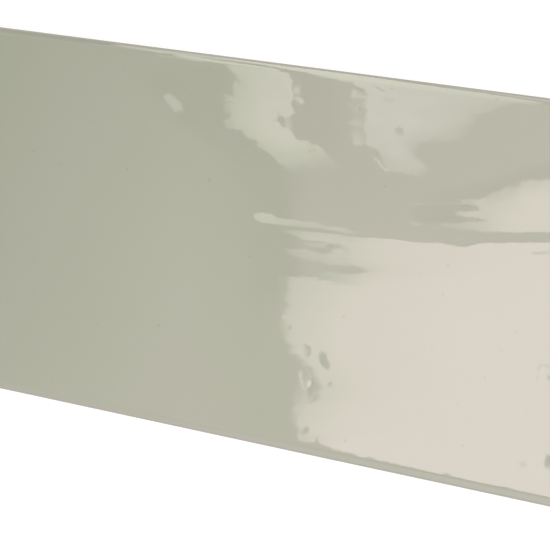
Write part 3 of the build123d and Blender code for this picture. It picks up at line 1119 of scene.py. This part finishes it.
def addCardMesh(name, places, colour):
    rows, columns = places.shape[:2]
    faces = [(r * columns + c, r * columns + c + 1, (r + 1) * columns + c + 1, (r + 1) * columns + c)
             for r in range(rows - 1) for c in range(columns - 1)]
    mesh = bpy.data.meshes.new(name)
    mesh.from_pydata(places.reshape(-1, 3).tolist(), [], faces)
    layer = mesh.color_attributes.new("glow", "FLOAT_COLOR", "POINT")
    layer.data.foreach_set("color", colour.reshape(-1))
    mesh.materials.append(cardMaterial)
    piece = bpy.data.objects.new(name, mesh)
    bpy.context.scene.collection.objects.link(piece)
    piece.visible_camera = False
    piece.visible_diffuse = False
    piece.visible_shadow = False


def cardColour(card, rows, columns):
    down, across = np.linspace(0, 1, rows)[:, None], np.linspace(0, 1, columns)[None, :]
    softFrom, softTo, softStart, softEnd = np.ones(4) * card.get("soft", 0)
    cover = rampUp(across, softFrom) * rampUp(1 - across, softTo)
    cover = cover * rampUp(down, softStart) * rampUp(1 - down, softEnd)
    glow = spreadLevels(card["glow"], rows, columns)
    tint = np.array(card.get("tint", warm))
    if "edge" in card:
        edge = refine(card["edge"], rows)
        edgeShare, edgeWidth = edge[:, :1], edge[:, 1:]
        rise = np.sin(math.pi / 2 * np.clip(across / edgeWidth, 0, 1))
        glow = glow * (edgeShare + (1 - edgeShare) * rise)
        tint = np.array(cool) + (tint - np.array(cool)) * rise[..., None]
    colour = np.ones((rows, columns, 4))
    colour[..., :3] = glow[..., None] * tint
    colour[..., 3] = cover
    return colour


cardMesh = {
    "height": 1.30, "gap": 0.002,  # metres above the back, and between one card and the next
    "columns": 36, "rows": 25, "rowsPerSpan": 5,  # the fewest rows, and those of each span of a line
    "ragged": (0.4, 0.4), "raggedScale": 0.7, "fineScale": 0.4, "broadOver": 5,
    "blotchColumns": 8, "blotchEvery": 6,  # rows
}


def roughen(line, other, size, rng):  # moves each point a little, towards the other line or away from it
    outward = line - other
    outward /= np.maximum(np.linalg.norm(outward, axis=1, keepdims=True), 0.001)
    fine = rng.normal(size=len(line) + 2)
    fine = cardMesh["fineScale"] * (fine[:-2] + 2 * fine[1:-1] + fine[2:])
    number = np.arange(len(line))
    broad = np.interp(number / cardMesh["broadOver"], number, rng.normal(size=len(line)))
    return line + outward * (size * cardMesh["raggedScale"] * (fine + broad))[:, None]


def spanRows(card, perSpan):
    return perSpan * (max(len(card["from"]), len(card["to"])) - 1) + 1


def between(first, second, columns):  # points spread from one line to the other
    across = np.linspace(0, 1, columns)[None, :, None]
    laid = first[:, None, :] * (1 - across) + second[:, None, :] * across
    return laid[..., 0], laid[..., 1]


def addCard(name, card, height, rng):
    columns, rows = cardMesh["columns"], max(cardMesh["rows"], spanRows(card, cardMesh["rowsPerSpan"]))
    first, second = refine(card["from"], rows), refine(card["to"], rows)
    ragged = card.get("ragged", cardMesh["ragged"])
    first, second = roughen(first, second, ragged[0], rng), roughen(second, first, ragged[1], rng)
    points, mirrored = faceAt(*between(first, second, columns))
    reach = (height - points[..., 2]) / mirrored[..., 2]
    colour = cardColour(card, rows, columns)
    blotches = rng.normal(size=(max(2, rows // cardMesh["blotchEvery"]), cardMesh["blotchColumns"]))
    blotches = spreadLevels(blotches, rows, columns)
    colour[..., :3] *= 1 + card.get("mottle", 0) * blotches[..., None]
    addCardMesh(name, points + mirrored * reach[..., None], colour)


cardRng = np.random.default_rng(19)
for order, (cardName, card) in enumerate(cards.items()):
    addCard(cardName, card, cardMesh["height"] - cardMesh["gap"] * order, cardRng)
print("light cards made,", len(cards))


# Rim cards, which the rounded long edges mirror: the lines are px along the edge and degrees of tilt

rims = {
    "rimDark": {
        "from": [(-60, 52), (60, 52), (104, 40)], "to": [(-60, 3), (60, 3), (104, 14)],
        "side": 1, "glow": (0.1, 0.2), "soft": (0.1, 0.1, 0, 0.15),
    },
    "rimLight": {
        "from": [(86, 31), (110, 33), (140, 34), (170, 40), (200, 39), (230, 38), (260, 38), (290, 37),
                 (320, 38.5), (340, 37.5), (360, 38), (400, 36), (430, 32.5), (460, 27), (490, 26),
                 (520, 21), (545, 13), (565, 8)],
        "to": [(86, 20), (110, 12), (140, 7), (170, 15), (200, 17), (230, 20), (260, 17), (290, 6),
               (320, 1.5), (340, 0.8), (360, 0.8), (400, 0.8), (430, 0.8), (460, 0.8), (490, 0.8),
               (520, 0.8), (545, 2), (565, 3)],
        "side": 1, "tint": rimTint,
        "glow": (2.4, (3.3, 3.4), (3.0, 4.4), (2.7, 3.6), (3.0, 3.6), (4.6, 4.8), (4.8, 5.3), (5.2, 5.4),
                 (5.3, 5.4), (5.3, 5.4), (5.3, 5.4), 5.3, (5.3, 5.1), (5.3, 4.8), (5.1, 4.5), (4.8, 4.3),
                 (4.4, 4.0), (3.4, 3.2)), "soft": (0.08, 0.02, 0.03, 0.05),
    },
    "rimEnd": {
        "from": [(430, 60), (460, 62), (490, 62), (520, 62), (545, 62), (575, 62)],
        "to": [(430, 40), (460, 35), (490, 33), (520, 27), (545, 18), (575, 14)],
        "side": 1, "glow": (2.0, (2.4, 2.2), (2.7, 2.4), (2.9, 2.6), (2.9, 2.7), (2.9, 2.7)),
        "soft": (0.08, 0.06, 0.3, 0),
    },
    "patchRim": {
        "from": [(150, 15), (170, 15), (200, 11), (230, 8.5), (260, 4), (286, 2)],
        "to": [(150, 2), (170, 1), (200, 0.8), (230, 0.8), (260, 0.7), (286, 0.7)],
        "side": 1, "tint": rimTint, "glow": ((3.4, 3.2), (4.2, 4.3), 4.4, 4.6, 4.8, 4.8),
        "soft": (0.1, 0.05, 0.1, 0.05),
    },
    "footRim": {
        "from": [(-60, 55), (620, 55)], "to": [(-60, 1.2), (620, 0.8)],
        "side": -1, "glow": ((1.0, 1.6), (2.3, 2.0), (2.4, 2.3), (2.4, 2.6)), "soft": (0.1, 0.03, 0, 0),
    },
}


rimMesh = {"columns": 30, "rowsPerSpan": 8, "away": 0.7}  # metres from the edge


def rimAt(column, tilt, side):  # the point of the arris at a column and a tilt, and its reflection's way
    row = view["edgeTop"] if side > 0 else view["edgeBottom"]
    points = faceAt(column, np.full_like(column, row))[0]
    turn = np.radians(tilt)
    points[..., 1] = side * (halfWidth - body["arris"] + body["arris"] * np.sin(turn))
    height = faceHeight(points[..., 0], points[..., 1])
    points[..., 2] = height - body["arris"] + body["arris"] * np.cos(turn)
    normals = np.stack([np.zeros_like(turn), side * np.sin(turn), np.cos(turn)], axis=-1)
    rays = points - cameraPlace
    rays /= np.linalg.norm(rays, axis=-1, keepdims=True)
    return points, mirrorRays(rays, normals)


def addRim(name, rim):
    columns, rows = rimMesh["columns"], spanRows(rim, rimMesh["rowsPerSpan"])
    first, second = refine(rim["from"], rows), refine(rim["to"], rows)
    points, mirrored = rimAt(*between(first, second, columns), rim["side"])
    addCardMesh(name, points + mirrored * rimMesh["away"], cardColour(rim, rows, columns))


for rimName, rim in rims.items():
    addRim(rimName, rim)
print("rim cards made,", len(rims))


# A dim sheet on the floor, which only the sides and the arris mirror: it paints a darker reflection on them

dimSheet = {"reach": 0.15, "drop": 0.1 * mm, "glow": 0.85, "steps": 41}


def addDimReflectionSheet():
    steps = np.linspace(-1, 1, dimSheet["steps"])
    halfX, halfY = halfLength + dimSheet["reach"], halfWidth + dimSheet["reach"]
    x, y = np.meshgrid(steps * halfX, steps * halfY, indexing="ij")
    softX, softY = dimSheet["reach"] / (2 * halfX), dimSheet["reach"] / (2 * halfY)
    card = {"glow": dimSheet["glow"], "soft": (softY, softY, softX, softX)}
    places = np.stack([x, y, np.full_like(x, -dimSheet["drop"])], axis=-1)
    addCardMesh("dimReflectionSheet", places, cardColour(card, dimSheet["steps"], dimSheet["steps"]))


addDimReflectionSheet()


# Softboxes all round the tile, which its face mirrors when it is seen from other sides

softboxes = {
    "count": 15, "firstTurn": 6.0, "wide": 10.0,  # degrees round the tile
    "clearFrom": 108.0, "clearTo": 144.0,  # left open, because the far arris mirrors what is here
    "radius": 1.6, "low": 7.0, "high": 52.0,  # metres away, and degrees up
    "glow": (1.5, 4.4), "soft": (0.04, 0.04, 0.12, 0.12), "rows": 24, "columns": 12,
}


def addSoftbox(name, middleTurn):
    rows, columns = softboxes["rows"], softboxes["columns"]
    turns = np.radians(middleTurn + softboxes["wide"] * np.linspace(-0.5, 0.5, columns))[None, :]
    rises = np.radians(np.linspace(softboxes["low"], softboxes["high"], rows))[:, None]
    turns, rises = np.broadcast_arrays(turns, rises)
    places = softboxes["radius"] * np.stack([np.cos(turns), np.sin(turns), np.tan(rises)], axis=-1)
    addCardMesh(name, places, cardColour(softboxes, rows, columns))


for number in range(softboxes["count"]):
    turn = softboxes["firstTurn"] + 360.0 * number / softboxes["count"]
    if not softboxes["clearFrom"] < turn < softboxes["clearTo"]:
        addSoftbox("softbox%d" % number, turn)
print("softboxes made")


# Floor, world and lamp

studio = {
    "floorHalf": 6.0, "floorDrop": 0.2 * mm,
    "floorColour": 0.34, "floorRoughness": 0.9, "floorGlow": 0.74,
    "roomStrength": 0.75,  # what the white room gives to matt surfaces
    "lampEnergy": 6.5, "lampSize": (0.8, 0.6), "lampAt": (0.5, -0.06, 0.95), "lampTurn": (4, 28, 0),
}


def addFloor():
    half = studio["floorHalf"]
    mesh = bpy.data.meshes.new("floor")
    corners = [(-half, -half, 0), (half, -half, 0), (half, half, 0), (-half, half, 0)]
    mesh.from_pydata(corners, [], [(0, 1, 2, 3)])
    material, tree, shader = addMaterial("paleFloor")
    setInputs(tree, shader, {
        "Base Color": (*[studio["floorColour"]] * 3, 1), "Roughness": studio["floorRoughness"],
        "Specular IOR Level": 0.0, "Emission Color": (1, 1, 1, 1), "Emission Strength": studio["floorGlow"]})
    mesh.materials.append(material)
    floor = bpy.data.objects.new("floor", mesh)
    floor.location.z = -studio["floorDrop"]
    bpy.context.scene.collection.objects.link(floor)


def addWorld():
    world = bpy.data.worlds.new("studio")
    bpy.context.scene.world = world
    world.use_nodes = True
    tree = world.node_tree
    tree.nodes.clear()
    path = addNode(tree, "ShaderNodeLightPath").outputs
    seen = addMath(tree, "MAXIMUM", path["Is Camera Ray"], path["Is Glossy Ray"])
    seen = addMath(tree, "MAXIMUM", seen, path["Is Transmission Ray"])
    strength = addMath(tree, "MULTIPLY_ADD", seen, 1 - studio["roomStrength"], studio["roomStrength"])
    background = addNode(tree, "ShaderNodeBackground", {"Strength": strength})
    addNode(tree, "ShaderNodeOutputWorld", {"Surface": background.outputs[0]})


def addLamp():
    data = bpy.data.lights.new("keyLamp", "AREA")
    data.shape = "RECTANGLE"
    data.size, data.size_y = studio["lampSize"]
    data.energy = studio["lampEnergy"]
    lamp = bpy.data.objects.new("keyLamp", data)
    lamp.location = studio["lampAt"]
    lamp.rotation_euler = [math.radians(turn) for turn in studio["lampTurn"]]
    lamp.visible_glossy = False
    bpy.context.scene.collection.objects.link(lamp)


addFloor()
addWorld()
addLamp()
bpy.context.scene.view_settings.view_transform = "Standard"
print("studio made")
